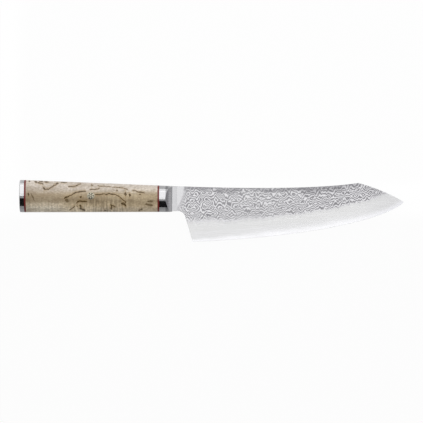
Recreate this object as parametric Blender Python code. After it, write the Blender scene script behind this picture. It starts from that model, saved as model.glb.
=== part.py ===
"""A santoku knife with a clipped point: a clad blade welded to a bolster, and a D shaped
birch handle bedded on a hidden tang between two red spacers, an end cap and a mosaic pin.

Metres. The knife lies on the flat left side of its handle. +X runs from the butt to the
point, +Y from the cutting edge to the spine and +Z out of the right face. The origin is
in the middle of the length and of the height, on the surface that the knife lies on.
"""

import math

import bmesh
import bpy
from mathutils import Matrix, Vector
from mathutils.geometry import interpolate_bezier

# Blade outline. Heights are measured up from the heel.
BLADE_LENGTH = 0.180
SHOULDER_TO_HEEL = 0.0171
HEEL_HEIGHT = 0.0476
HEEL_RAKE = math.radians(16.4)
CHOIL_RADIUS = 0.006
EDGE_START_ANGLE = math.radians(2.55)
EDGE_START_PULL = 0.1256
EDGE_END_ANGLE = math.radians(51.8)
EDGE_END_PULL = 0.0113
POINT_HEIGHT = 0.0339
POINT_FLAT = 0.0003
PEAK_TO_POINT = 0.0387
PEAK_HEIGHT = 0.0502
PEAK_ANGLE = math.radians(9.4)
PEAK_PULL = 0.0134
SPINE_START_PULL = 0.102
CLIP_CROWN = 0.0014

# Blade thicknesses. The faces are ground flat from the spine down to the edge.
SPINE_THICKNESS = 0.0022
EDGE_THICKNESS = 0.0003
CORE_THICKNESS = 0.00084
CLADDING_LIP = 0.00004
BOND_GAP = 0.00003

# Bolster and neck
BOLSTER_LENGTH = 0.0112
FACET_RUN = 0.0062
NECK_THICKNESS = 0.0026
NECK_FILLET = 0.0015
SHOULDER_TO_WELD = 0.004
WELD_TO_GRIND = 0.008
NOSE_LIFT = 0.0007
WELD_GAP = 0.00005

# Handle. Its section has a flat left side, a flat top and bottom, and a ridge on the right.
WOOD_LENGTH = 0.112
SPACER_LENGTH = 0.0014
CAP_LENGTH = 0.004
CAP_ROUND = 0.001
BUTT_SECTION_HEIGHT = 0.0277
SHOULDER_SECTION_HEIGHT = 0.0221
TOP_DROP = 0.0053
FLAT_TO_BLADE_PLANE = 0.0092
RIDGE_PROUD_BUTT = 0.011
RIDGE_PROUD_SHOULDER = 0.0092
RIDGE_ABOVE_BOTTOM_BUTT = 0.0139
RIDGE_ABOVE_BOTTOM_SHOULDER = 0.0105
UPPER_FLANK_ANGLE = math.radians(15)
LOWER_FLANK_ANGLE = math.radians(22)
LEFT_CORNER_RADIUS = 0.006
TOP_CORNER_RADIUS = 0.009
RIDGE_RADIUS_BUTT = 0.007
RIDGE_RADIUS_SHOULDER = 0.005
BOTTOM_CORNER_RADIUS_BUTT = 0.010
BOTTOM_CORNER_RADIUS_SHOULDER = 0.0072
GLUE_LINE = 0.00005

# Tang, with the resin that beds it in the wood
TANG_WIDTH = 0.012
TANG_THICKNESS = 0.004
TANG_SEAT_DEPTH = 0.004
TENON_WIDTH = 0.008
TENON_DEPTH = 0.0025
SPACER_SLOT_CLEARANCE = 0.0002
BEDDING_WALL = 0.0008

# Mosaic pin, made of rods set in resin inside a tube
BUTT_TO_PIN = 0.0608
TOP_TO_PIN = 0.0113
PIN_DIAMETER = 0.006
PIN_WALL = 0.0004
ROD_DIAMETER = 0.0013
ROD_RING_RADIUS = 0.00175
RODS_IN_RING = 6
PIN_FIT = 0.00003

# How finely curves are cut
CORNER_STEPS = 6
CAP_ROUND_STEPS = 4
FILLET_STEPS = 8
EDGE_STEPS = 28
SPINE_STEPS = 12
PIN_SIDES = 48
ROD_SIDES = 24
FINEST_STEP = 0.00003
LEAST_SHARE = 0.02
CUT_MARGIN = 0.01

# Stations along the knife, from butt to point
LENGTH = (
    CAP_LENGTH + 2 * SPACER_LENGTH + WOOD_LENGTH + BOLSTER_LENGTH + 4 * GLUE_LINE
    + SHOULDER_TO_HEEL + BLADE_LENGTH
)
X_BUTT = -LENGTH / 2
X_CAP_FACE = X_BUTT + CAP_LENGTH
X_REAR_SPACER = X_CAP_FACE + GLUE_LINE
X_WOOD = X_REAR_SPACER + SPACER_LENGTH + GLUE_LINE
X_FRONT_SPACER = X_WOOD + WOOD_LENGTH + GLUE_LINE
X_BOLSTER = X_FRONT_SPACER + SPACER_LENGTH + GLUE_LINE
X_SHOULDER = X_BOLSTER + BOLSTER_LENGTH
X_FACET = X_SHOULDER - FACET_RUN
X_WELD = X_SHOULDER + SHOULDER_TO_WELD
X_HEEL = X_SHOULDER + SHOULDER_TO_HEEL
X_POINT = X_HEEL + BLADE_LENGTH
X_PEAK = X_POINT - PEAK_TO_POINT
X_PIN = X_BUTT + BUTT_TO_PIN

# Levels across the knife and out of its face
HEIGHT = max(HEEL_HEIGHT + TOP_DROP, PEAK_HEIGHT)
Y_HEEL = -HEIGHT / 2
Y_NECK_BOTTOM = Y_HEEL + HEEL_HEIGHT - SHOULDER_SECTION_HEIGHT + NOSE_LIFT
Z_BLADE = FLAT_TO_BLADE_PLANE
NECK_HALF = NECK_THICKNESS / 2
EDGE_HALF = EDGE_THICKNESS / 2
CORE_HALF = CORE_THICKNESS / 2
GRIND_SLOPE = (SPINE_THICKNESS - EDGE_THICKNESS) / 2 / HEEL_HEIGHT
PIN_BLANK_LENGTH = 2 * (FLAT_TO_BLADE_PLANE + RIDGE_PROUD_BUTT)

COLOURS = {
    "clad steel": ((0.52, 0.52, 0.53), 0.42, 1.0),
    "core steel": ((0.78, 0.78, 0.79), 0.30, 1.0),
    "polished steel": ((0.75, 0.75, 0.76), 0.08, 1.0),
    "bar steel": ((0.45, 0.45, 0.46), 0.45, 1.0),
    "masur birch": ((0.50, 0.40, 0.27), 0.35, 0.0),
    "red fibre": ((0.16, 0.022, 0.018), 0.40, 0.0),
    "bedding resin": ((0.30, 0.24, 0.15), 0.45, 0.0),
    "nickel silver": ((0.66, 0.63, 0.55), 0.22, 1.0),
    "dark resin": ((0.03, 0.025, 0.02), 0.35, 0.0),
}


def clear_scene():
    for item in list(bpy.data.objects):
        bpy.data.objects.remove(item, do_unlink=True)


def new_collection(name):
    collection = bpy.data.collections.new(name)
    bpy.context.scene.collection.children.link(collection)
    return collection


def material(name):
    """The material of that name, made the first time that it is asked for."""
    found = bpy.data.materials.get(name)
    if found:
        return found
    colour, roughness, metallic = COLOURS[name]
    made = bpy.data.materials.new(name)
    made.use_nodes = True
    shader = made.node_tree.nodes["Principled BSDF"]
    shader.inputs["Base Color"].default_value = (*colour, 1.0)
    shader.inputs["Roughness"].default_value = roughness
    shader.inputs["Metallic"].default_value = metallic
    return made


def mix(start, end, share):
    return start + (end - start) * share


def at_angle(angle, length):
    return Vector((length * math.cos(angle), length * math.sin(angle)))


def bezier(start, start_handle, end_handle, end, steps):
    """Points on one cubic curve in the plane of the blade."""
    knots = [point.to_3d() for point in (start, start_handle, end_handle, end)]
    return [point.to_2d() for point in interpolate_bezier(*knots, steps + 1)]


def height_at(x, curve):
    """The height of a curve of rising x at x, level beyond its ends."""
    if x <= curve[0].x:
        return curve[0].y
    for left, right in zip(curve, curve[1:]):
        if x <= right.x:
            return mix(left.y, right.y, (x - left.x) / (right.x - left.x))
    return curve[-1].y


# The outline of the blade
def top_line_angle():
    """The slope of the handle's top line, which the spine carries on from."""
    return -math.atan(TOP_DROP / (X_SHOULDER - X_BUTT))


def spine_curve():
    """From the shoulder along the spine to the peak, and down the clip to the point."""
    shoulder = Vector((X_SHOULDER, Y_HEEL + HEEL_HEIGHT))
    peak = Vector((X_PEAK, Y_HEEL + PEAK_HEIGHT))
    point = Vector((X_POINT, Y_HEEL + POINT_HEIGHT + POINT_FLAT))
    spine = bezier(
        shoulder,
        shoulder + at_angle(top_line_angle(), SPINE_START_PULL),
        peak - at_angle(PEAK_ANGLE, PEAK_PULL),
        peak,
        SPINE_STEPS,
    )
    # A crown at the middle is three quarters of how far the two handles stand off.
    clip = point - peak
    bow = Vector((-clip.y, clip.x)).normalized() * CLIP_CROWN * 4 / 3
    return spine + bezier(
        peak, peak + clip / 3 + bow, point - clip / 3 + bow, point, SPINE_STEPS
    )[1:]


def edge_curve():
    heel = Vector((X_HEEL, Y_HEEL))
    point = Vector((X_POINT, Y_HEEL + POINT_HEIGHT))
    return bezier(
        heel,
        heel + at_angle(EDGE_START_ANGLE, EDGE_START_PULL),
        point - at_angle(EDGE_END_ANGLE, EDGE_END_PULL),
        point,
        EDGE_STEPS,
    )


def choil_curve():
    """The hollow between the neck's underside and the raked heel, down to the heel."""
    turn = math.pi / 2 - HEEL_RAKE
    corner_x = X_HEEL - (Y_NECK_BOTTOM - Y_HEEL) * math.tan(HEEL_RAKE)
    centre = Vector((
        corner_x - CHOIL_RADIUS * math.tan(turn / 2),
        Y_NECK_BOTTOM - CHOIL_RADIUS,
    ))
    arc = [
        centre + at_angle(math.pi / 2 - turn * step / FILLET_STEPS, CHOIL_RADIUS)
        for step in range(FILLET_STEPS + 1)
    ]
    return [Vector((X_WELD, Y_NECK_BOTTOM))] + arc


SPINE = spine_curve()
EDGE = edge_curve()
UNDERSIDE = choil_curve() + EDGE


def ground_share(x):
    """0 at the weld, where the blade is as thick as the neck, to 1 where it is all ground."""
    share = min(max((x - X_WELD) / WELD_TO_GRIND, 0.0), 1.0)
    return share * share * (3 - 2 * share)


def half_thickness(x, y):
    ground = EDGE_HALF + GRIND_SLOPE * (y - height_at(x, EDGE))
    return mix(NECK_HALF, ground, ground_share(x))


def level_of(x, half):
    """The height at which the blade is twice this thick. By the weld it is far below the edge."""
    share = max(ground_share(x), LEAST_SHARE)
    ground = (half - (1 - share) * NECK_HALF) / share
    return height_at(x, EDGE) + (ground - EDGE_HALF) / GRIND_SLOPE


# The section of the handle
def top_at(x):
    if x > X_SHOULDER:
        return height_at(x, SPINE)
    return Y_HEEL + HEEL_HEIGHT + (X_SHOULDER - x) * math.tan(-top_line_angle())


def towards_shoulder(butt_size, shoulder_size, x):
    """A size of the section that changes evenly from the butt to the shoulder."""
    return mix(butt_size, shoulder_size, min((x - X_BUTT) / (X_SHOULDER - X_BUTT), 1.0))


def bottom_at(x):
    section = towards_shoulder(BUTT_SECTION_HEIGHT, SHOULDER_SECTION_HEIGHT, x)
    lift = NOSE_LIFT * min(max((x - X_FACET) / FACET_RUN, 0.0), 1.0)
    if x > X_SHOULDER:
        return Y_NECK_BOTTOM
    return top_at(x) - section + lift


def rounded_corner(before, corner, after, radius, inset):
    """An arc across one corner of the section. Inset moves the whole section inwards."""
    to_before = (before - corner).normalized()
    to_after = (after - corner).normalized()
    inwards = (to_before + to_after).normalized()
    half_angle = to_before.angle(to_after) / 2
    centre = corner + inwards * radius / math.sin(half_angle)
    first = -inwards.copy()
    sweep = math.pi - 2 * half_angle
    turn = math.copysign(1, to_after.cross(to_before))
    return [
        centre + Matrix.Rotation(turn * sweep * (step / CORNER_STEPS - 0.5), 2) @ first
        * (radius - inset)
        for step in range(CORNER_STEPS + 1)
    ]


def handle_section(x, inset=0.0):
    """The D shaped section at x, as points in space."""
    top, bottom = top_at(x), bottom_at(x)
    ridge_y = bottom + towards_shoulder(RIDGE_ABOVE_BOTTOM_BUTT, RIDGE_ABOVE_BOTTOM_SHOULDER, x)
    ridge_z = Z_BLADE + towards_shoulder(RIDGE_PROUD_BUTT, RIDGE_PROUD_SHOULDER, x)
    top_z = ridge_z - (top - ridge_y) * math.tan(UPPER_FLANK_ANGLE)
    bottom_z = ridge_z - (ridge_y - bottom) * math.tan(LOWER_FLANK_ANGLE)
    ridge_radius = towards_shoulder(RIDGE_RADIUS_BUTT, RIDGE_RADIUS_SHOULDER, x)
    bottom_radius = towards_shoulder(BOTTOM_CORNER_RADIUS_BUTT, BOTTOM_CORNER_RADIUS_SHOULDER, x)
    corners = [
        (Vector((top, 0)), LEFT_CORNER_RADIUS),
        (Vector((top, top_z)), TOP_CORNER_RADIUS),
        (Vector((ridge_y, ridge_z)), ridge_radius),
        (Vector((bottom, bottom_z)), bottom_radius),
        (Vector((bottom, 0)), LEFT_CORNER_RADIUS),
    ]
    points = []
    for index, (corner, radius) in enumerate(corners):
        before = corners[index - 1][0]
        after = corners[(index + 1) % len(corners)][0]
        points += rounded_corner(before, corner, after, radius, inset)
    return [Vector((x, y, z)) for y, z in points]


# Making objects
def add_object(name, mesh, material_name, collection):
    made = bpy.data.objects.new(name, mesh)
    collection.objects.link(made)
    if material_name:
        mesh.materials.append(material(material_name))
        mesh.shade_smooth()
        mesh.set_sharp_from_angle(angle=math.radians(30))
    else:
        made.hide_render = True
        made.display_type = "WIRE"
    return made


def mesh_from(name, body):
    bmesh.ops.recalc_face_normals(body, faces=body.faces)
    mesh = bpy.data.meshes.new(name)
    body.to_mesh(mesh)
    body.free()
    return mesh


def loft(name, rings, material_name, collection):
    """A closed solid through rings with the same number of points."""
    body = bmesh.new()
    loops = [[body.verts.new(point) for point in ring] for ring in rings]
    for left, right in zip(loops, loops[1:]):
        for index in range(len(left)):
            body.faces.new((left[index - 1], left[index], right[index], right[index - 1]))
    body.faces.new(loops[0])
    body.faces.new(loops[-1])
    return add_object(name, mesh_from(name, body), material_name, collection)


def box(name, low, high, material_name, collection):
    body = bmesh.new()
    low, high = Vector(low), Vector(high)
    place = Matrix.Translation((low + high) / 2) @ Matrix.Diagonal((*(high - low), 1))
    bmesh.ops.create_cube(body, size=1, matrix=place)
    return add_object(name, mesh_from(name, body), material_name, collection)


def cylinder(name, centre, radius, length, sides, material_name, collection):
    """Along Z, with its origin at its middle."""
    body = bmesh.new()
    bmesh.ops.create_cone(
        body, cap_ends=True, segments=sides, radius1=radius, radius2=radius, depth=length
    )
    made = add_object(name, mesh_from(name, body), material_name, collection)
    made.location = centre
    return made


def flat_solid(name, outlines, depth, place, material_name, collection):
    """Outlines in a plane, with any inner ones as holes, thickened to depth both ways evenly."""
    curve = bpy.data.curves.new(name, "CURVE")
    curve.dimensions = "2D"
    curve.fill_mode = "BOTH"
    curve.extrude = depth / 2
    for outline in outlines:
        spline = curve.splines.new("POLY")
        spline.points.add(len(outline) - 1)
        for point, (u, v) in zip(spline.points, outline):
            point.co = (u, v, 0, 1)
        spline.use_cyclic_u = True
    drawn = bpy.data.objects.new(name, curve)
    collection.objects.link(drawn)
    evaluated = drawn.evaluated_get(bpy.context.evaluated_depsgraph_get())
    mesh = bpy.data.meshes.new_from_object(evaluated)
    bpy.data.objects.remove(drawn)
    body = bmesh.new()
    body.from_mesh(mesh)
    bpy.data.meshes.remove(mesh)
    bmesh.ops.remove_doubles(body, verts=body.verts, dist=1e-7)
    made = add_object(name, mesh_from(name, body), material_name, collection)
    made.matrix_world = place
    return made


def cut(target, cutter, operation="DIFFERENCE"):
    modifier = target.modifiers.new(cutter.name, "BOOLEAN")
    modifier.operation = operation
    modifier.object = cutter


def circle(centre, radius, sides):
    step = 2 * math.pi / sides
    return [centre + at_angle(step * index, radius) for index in range(sides)]


# The pieces
def blade_core(parts):
    """The hard middle layer: as thick as the grind allows, up to its own thickness."""
    rings = []
    for x in blade_stations():
        low, high = height_at(x, UNDERSIDE), top_at(x)
        margin = (high - low) * LEAST_SHARE
        middle = min(max(level_of(x, CORE_HALF), low + margin), high - margin)
        levels = [(y, min(CORE_HALF, half_thickness(x, y))) for y in (low, middle, high)]
        right = [Vector((x, y, Z_BLADE + half)) for y, half in levels]
        left = [Vector((x, y, Z_BLADE - half)) for y, half in reversed(levels)]
        rings.append(right + left)
    return loft("blade_core", rings, "core steel", parts)


def blade_stations():
    """Where the blade's outline bends or its thickness changes, from weld to point."""
    start = X_WELD + WELD_GAP
    grind = [start + WELD_TO_GRIND * step / FILLET_STEPS for step in range(FILLET_STEPS + 1)]
    bends = [point.x for point in UNDERSIDE if point.x > start] + [X_PEAK]
    stations = []
    for x in sorted(grind + bends):
        if not stations or x - stations[-1] > FINEST_STEP:
            stations.append(x)
    stations[-1] = X_POINT
    return stations


def cladding_bottom(x):
    """The line along which the grind comes through the cladding to the core."""
    through = level_of(x, CORE_HALF + BOND_GAP + CLADDING_LIP)
    return max(through, height_at(x, UNDERSIDE))


def cladding_end():
    """Where that line meets the clip, less a short blunt end, found by halving."""
    near, far = X_HEEL, X_POINT
    while far - near > FINEST_STEP:
        middle = (near + far) / 2
        if top_at(middle) - cladding_bottom(middle) > POINT_FLAT:
            near = middle
        else:
            far = middle
    return near


def cladding(name, side, parts):
    """The folded layers on one face, thickest at the spine. side is 1 on the right face."""
    end = cladding_end()
    rings = []
    for x in [x for x in blade_stations() if x < end - POINT_FLAT] + [end]:
        low, high = cladding_bottom(x), top_at(x)
        inner = CORE_HALF + BOND_GAP
        section = [
            (low, inner), (low, half_thickness(x, low)), (high, half_thickness(x, high)),
            (high, inner),
        ]
        rings.append([Vector((x, y, Z_BLADE + side * half)) for y, half in section])
    return loft(name, rings, "clad steel", parts)


def facet_cutter(side, proud, cutters):
    """What is ground off one side of the bolster: the sloping facet, its fillet and the neck."""
    slope = math.atan2(proud - NECK_HALF, FACET_RUN)
    reach = NECK_FILLET * math.tan(slope / 2)
    centre = Vector((X_SHOULDER + reach, NECK_HALF + NECK_FILLET))
    arc = [
        centre + at_angle(-math.pi / 2 - slope * (1 - step / FILLET_STEPS), NECK_FILLET)
        for step in range(FILLET_STEPS + 1)
    ]
    start = Vector((X_FACET, proud)) + at_angle(math.pi - slope, CUT_MARGIN)
    end_x = X_WELD + CUT_MARGIN
    outline = [start] + arc + [Vector((end_x, NECK_HALF)), Vector((end_x, start.y))]
    # Its drawing plane is turned upright, so that its height becomes Z.
    middle_y = Y_HEEL + HEEL_HEIGHT - SHOULDER_SECTION_HEIGHT / 2
    place = Matrix.Translation((0, middle_y, Z_BLADE)) @ Matrix.Diagonal((1, 1, side, 1))
    place = place @ Matrix.Rotation(math.pi / 2, 4, "X")
    depth = SHOULDER_SECTION_HEIGHT + 2 * CUT_MARGIN
    name = "right_facet_cut" if side > 0 else "left_facet_cut"
    return flat_solid(name, [outline], depth, place, None, cutters)


def bolster(parts, cutters):
    stations = [X_BOLSTER, X_FACET, X_SHOULDER, X_WELD]
    rings = [handle_section(x) for x in stations]
    made = loft("bolster", rings, "polished steel", parts)
    cut(made, facet_cutter(1, RIDGE_PROUD_SHOULDER, cutters))
    cut(made, facet_cutter(-1, FLAT_TO_BLADE_PLANE, cutters))
    seat = box("bolster_seat_cut", *tang_box(WELD_GAP, X_BUTT, tang_end() + WELD_GAP),
               None, cutters)
    cut(made, seat)
    return made


def tang_end():
    return X_BOLSTER + TANG_SEAT_DEPTH


def pin_centre():
    """The pin's axis on the blade plane. The tang's middle line runs through it."""
    return Vector((X_PIN, top_at(X_PIN) - TOP_TO_PIN, Z_BLADE))


def tang_box(clearance, low_x, high_x):
    """Two corners round the tang's bar between two stations, with clearance on its sides."""
    centre = pin_centre()
    half_y = TANG_WIDTH / 2 + clearance
    half_z = TANG_THICKNESS / 2 + clearance
    return (
        (low_x, centre.y - half_y, Z_BLADE - half_z),
        (high_x, centre.y + half_y, Z_BLADE + half_z),
    )


def tang(parts):
    """A flat bar with a hole for the pin and a narrower tenon at the butt."""
    centre = pin_centre()
    bar, tenon = TANG_WIDTH / 2, TENON_WIDTH / 2
    tenon_end = X_CAP_FACE - TENON_DEPTH
    outline = [
        (tenon_end, -tenon), (X_REAR_SPACER, -tenon), (X_REAR_SPACER, -bar),
        (tang_end(), -bar), (tang_end(), bar), (X_REAR_SPACER, bar),
        (X_REAR_SPACER, tenon), (tenon_end, tenon),
    ]
    hole = circle(Vector((X_PIN, 0)), PIN_DIAMETER / 2 + PIN_FIT, PIN_SIDES)
    place = Matrix.Translation((0, centre.y, Z_BLADE))
    return flat_solid("tang", [outline, hole], TANG_THICKNESS, place, "bar steel", parts)


def tang_bedding(parts, cutters):
    """The resin sleeve that fills the space between the tang and the wood."""
    outer = tang_box(BOND_GAP + BEDDING_WALL, X_WOOD, X_WOOD + WOOD_LENGTH)
    made = box("tang_bedding", *outer, "bedding resin", parts)
    bore = tang_box(BOND_GAP, X_BUTT, X_SHOULDER)
    cut(made, box("bedding_bore_cut", *bore, None, cutters))
    cut(made, cutters.objects["pin_cut"])
    return made


def spacer(name, low_x, parts, cutters):
    """A thin plate between wood and metal, with a slot for the tang."""
    high_x = low_x + SPACER_LENGTH
    rings = [handle_section(low_x), handle_section(high_x)]
    made = loft(name, rings, "red fibre", parts)
    cut(made, cutters.objects["spacer_slot_cut"])
    return made


def handle_wood(parts, cutters):
    rings = [handle_section(X_WOOD), handle_section(X_WOOD + WOOD_LENGTH)]
    made = loft("handle_wood", rings, "masur birch", parts)
    slot = tang_box(2 * BOND_GAP + BEDDING_WALL, X_BUTT, X_SHOULDER)
    cut(made, box("wood_slot_cut", *slot, None, cutters))
    cut(made, cutters.objects["pin_cut"])
    return made


def end_cap(parts, cutters):
    """A plate with a rounded rim, and a blind slot that the tang's tenon is brazed into."""
    rings = []
    for step in range(CAP_ROUND_STEPS + 1):
        angle = math.pi / 2 * step / CAP_ROUND_STEPS
        x = X_BUTT + CAP_ROUND * (1 - math.cos(angle))
        rings.append(handle_section(x, CAP_ROUND * (1 - math.sin(angle))))
    rings.append(handle_section(X_CAP_FACE))
    made = loft("end_cap", rings, "polished steel", parts)
    centre = pin_centre()
    half_y = TENON_WIDTH / 2 + WELD_GAP
    half_z = TANG_THICKNESS / 2 + WELD_GAP
    low = (X_CAP_FACE - TENON_DEPTH - WELD_GAP, centre.y - half_y, Z_BLADE - half_z)
    high = (X_WOOD, centre.y + half_y, Z_BLADE + half_z)
    cut(made, box("cap_slot_cut", low, high, None, cutters))
    return made


def shared_cutters(cutters):
    """The pin's hole, the spacers' slot and the handle's own shape, to trim the pin flush."""
    radius = PIN_DIAMETER / 2 + PIN_FIT
    length = PIN_BLANK_LENGTH + CUT_MARGIN
    cylinder("pin_cut", pin_centre(), radius, length, PIN_SIDES, None, cutters)
    slot = tang_box(SPACER_SLOT_CLEARANCE, X_BUTT, X_SHOULDER)
    box("spacer_slot_cut", *slot, None, cutters)
    rings = [handle_section(X_WOOD), handle_section(X_WOOD + WOOD_LENGTH)]
    loft("pin_trim", rings, None, cutters)


def mosaic_pin(parts, cutters):
    """A tube, a ring of rods round a middle one, and the resin that they are set in."""
    centre = pin_centre()
    trim = cutters.objects["pin_trim"]
    bore = PIN_DIAMETER / 2 - PIN_WALL
    blank = PIN_BLANK_LENGTH
    drill = blank + CUT_MARGIN
    tube = cylinder("pin_tube", centre, PIN_DIAMETER / 2, blank, PIN_SIDES,
                    "nickel silver", parts)
    cut(tube, cylinder("pin_bore_cut", centre, bore, drill, PIN_SIDES, None, cutters))
    resin = cylinder("pin_resin", centre, bore - PIN_FIT, blank, PIN_SIDES,
                     "dark resin", parts)
    places = [centre]
    for index in range(RODS_IN_RING):
        angle = 2 * math.pi * (index + 0.5) / RODS_IN_RING
        places.append(centre + at_angle(angle, ROD_RING_RADIUS).to_3d())
    for index, place in enumerate(places):
        rod = cylinder(f"pin_rod_{index + 1}", place, ROD_DIAMETER / 2, blank, ROD_SIDES,
                       "nickel silver", parts)
        hole = cylinder(f"rod_hole_{index + 1}", place, ROD_DIAMETER / 2 + PIN_FIT,
                        drill, ROD_SIDES, None, cutters)
        cut(resin, hole)
        cut(rod, trim, "INTERSECT")
    cut(tube, trim, "INTERSECT")
    cut(resin, trim, "INTERSECT")


def build():
    clear_scene()
    parts = new_collection("Santoku knife")
    cutters = new_collection("Cutters")
    shared_cutters(cutters)
    blade_core(parts)
    cladding("cladding_right", 1, parts)
    cladding("cladding_left", -1, parts)
    bolster(parts, cutters)
    tang(parts)
    tang_bedding(parts, cutters)
    spacer("front_spacer", X_FRONT_SPACER, parts, cutters)
    handle_wood(parts, cutters)
    spacer("rear_spacer", X_REAR_SPACER, parts, cutters)
    end_cap(parts, cutters)
    mosaic_pin(parts, cutters)
    knife = bpy.data.objects.new("knife", None)
    parts.objects.link(knife)
    for piece in parts.objects:
        if piece is not knife:
            piece.parent = knife


build()
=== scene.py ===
import math

import bpy
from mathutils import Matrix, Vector
from mathutils.geometry import interpolate_bezier


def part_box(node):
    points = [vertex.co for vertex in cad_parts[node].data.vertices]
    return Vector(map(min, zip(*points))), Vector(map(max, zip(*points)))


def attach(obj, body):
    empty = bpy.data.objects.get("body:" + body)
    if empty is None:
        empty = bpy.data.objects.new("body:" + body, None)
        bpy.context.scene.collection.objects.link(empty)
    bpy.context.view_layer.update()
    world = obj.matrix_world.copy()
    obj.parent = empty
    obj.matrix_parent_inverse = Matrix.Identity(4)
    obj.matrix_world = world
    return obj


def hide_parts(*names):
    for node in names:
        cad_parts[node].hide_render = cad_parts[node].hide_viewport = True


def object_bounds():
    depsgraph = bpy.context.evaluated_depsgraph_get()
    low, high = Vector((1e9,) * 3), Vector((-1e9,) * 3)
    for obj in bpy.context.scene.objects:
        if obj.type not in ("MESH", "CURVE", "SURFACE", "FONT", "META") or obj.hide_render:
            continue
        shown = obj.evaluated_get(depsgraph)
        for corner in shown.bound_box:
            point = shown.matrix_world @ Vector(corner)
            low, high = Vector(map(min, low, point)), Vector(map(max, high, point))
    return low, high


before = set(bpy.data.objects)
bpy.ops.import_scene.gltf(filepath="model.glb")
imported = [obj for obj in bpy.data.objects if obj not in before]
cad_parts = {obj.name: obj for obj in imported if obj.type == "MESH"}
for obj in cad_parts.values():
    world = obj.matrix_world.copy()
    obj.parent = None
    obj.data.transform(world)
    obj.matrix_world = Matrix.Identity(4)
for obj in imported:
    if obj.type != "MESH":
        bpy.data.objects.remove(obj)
cad_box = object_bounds()

# The core of the blade is one layer of hard steel. It was forged between the folded layers of the two
# faces and ground down with them, so it shows along the edge, where the grind has gone through them.
BLADE_LENGTH = 0.180
SHOULDER_TO_HEEL = 0.0171
HEEL_HEIGHT = 0.0476
HEEL_RAKE = math.radians(16.4)
CHOIL_RADIUS = 0.006
EDGE_START = (math.radians(2.55), 0.1256)
EDGE_END = (math.radians(51.8), 0.0113)
POINT_HEIGHT = 0.0339
POINT_FLAT = 0.0003
PEAK_TO_POINT = 0.0387
PEAK_HEIGHT = 0.0502
PEAK_BEND = (math.radians(9.4), 0.0134)
SPINE_START = 0.102
CLIP_CROWN = 0.0014
SPINE_THICKNESS = 0.0022
EDGE_THICKNESS = 0.0003
CORE_THICKNESS = 0.00084
NECK_THICKNESS = 0.0026
BOND_GAP = 0.00003
LAYERS_LIP = 0.00004
WELD_TO_GRIND = 0.008
HONED_HEIGHT = 0.00008
HONED_THICKNESS = 0.00018
HANDLE_DROP = 0.0053
SHOULDER_SECTION = 0.0221
NOSE_LIFT = 0.0007
LINE_WAVES = ((0.00042, 790, 0.6), (0.00034, 1370, 2.1), (0.00022, 2610, 0.4), (0.00045, 215, 1.3))
LINE_DROP = 0.0013
LINE_DROP_RUN = 0.03
GRID_STEP = 0.00045
CURVE_STEPS = 60
CHOIL_STEPS = 16
LEAST_SHARE = 0.02
SAME_PLACE = 1e-7
MM_PER_METRE = 1000

x_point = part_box("blade_core")[1].x
x_heel = x_point - BLADE_LENGTH
x_shoulder = x_heel - SHOULDER_TO_HEEL
x_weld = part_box("blade_core")[0].x
x_peak = x_point - PEAK_TO_POINT
x_butt = cad_box[0].x
y_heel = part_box("blade_core")[0].y
y_neck_bottom = y_heel + HEEL_HEIGHT - SHOULDER_SECTION + NOSE_LIFT
z_blade = (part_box("blade_core")[0].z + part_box("blade_core")[1].z) / 2
top_line_slope = HANDLE_DROP / (x_shoulder - x_butt)
grind_slope = (SPINE_THICKNESS - EDGE_THICKNESS) / 2 / HEEL_HEIGHT
breaks_through = CORE_THICKNESS / 2 + BOND_GAP + LAYERS_LIP


def at_angle(angle, length):
    return Vector((math.cos(angle), math.sin(angle))) * length


def smooth_curve(*knots):
    return [point.to_2d() for point in interpolate_bezier(*[k.to_3d() for k in knots], CURVE_STEPS)]


def height_on(curve, x):
    """The height of a curve at x, level beyond its ends."""
    if x <= curve[0].x:
        return curve[0].y
    for left, right in zip(curve, curve[1:]):
        if x <= right.x:
            return left.y + (right.y - left.y) * (x - left.x) / max(right.x - left.x, 1e-9)
    return curve[-1].y


shoulder = Vector((x_shoulder, y_heel + HEEL_HEIGHT))
peak = Vector((x_peak, y_heel + PEAK_HEIGHT))
tip_top = Vector((x_point, y_heel + POINT_HEIGHT + POINT_FLAT))
tip = Vector((x_point, y_heel + POINT_HEIGHT))
heel = Vector((x_heel, y_heel))
clip = tip_top - peak
clip_bow = Vector((-clip.y, clip.x)).normalized() * CLIP_CROWN * 4 / 3
SPINE = smooth_curve(
    shoulder, shoulder + at_angle(-math.atan(top_line_slope), SPINE_START), peak - at_angle(*PEAK_BEND), peak
) + smooth_curve(peak, peak + clip / 3 + clip_bow, tip_top - clip / 3 + clip_bow, tip_top)[1:]
EDGE = smooth_curve(heel, heel + at_angle(*EDGE_START), tip - at_angle(*EDGE_END), tip)

choil_turn = math.pi / 2 - HEEL_RAKE
choil_centre = Vector((
    x_heel - (y_neck_bottom - y_heel) * math.tan(HEEL_RAKE) - CHOIL_RADIUS * math.tan(choil_turn / 2),
    y_neck_bottom - CHOIL_RADIUS,
))
UNDERSIDE = [Vector((x_weld, y_neck_bottom))] + [
    choil_centre + at_angle(math.pi / 2 - choil_turn * step / CHOIL_STEPS, CHOIL_RADIUS)
    for step in range(CHOIL_STEPS + 1)
] + EDGE


def share_ground(x, least=0):
    """0 at the weld, where nothing is ground away, to 1 where the full grind begins. Never under least."""
    share = min(max((x - x_weld) / WELD_TO_GRIND, least), 1)
    return share * share * (3 - 2 * share)


def half_thickness(x, y):
    """From the blade's middle plane to its ground face. By the weld it is as thick as the neck."""
    share = share_ground(x)
    ground = EDGE_THICKNESS / 2 + grind_slope * (y - height_on(EDGE, x))
    return NECK_THICKNESS / 2 * (1 - share) + ground * share


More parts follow.
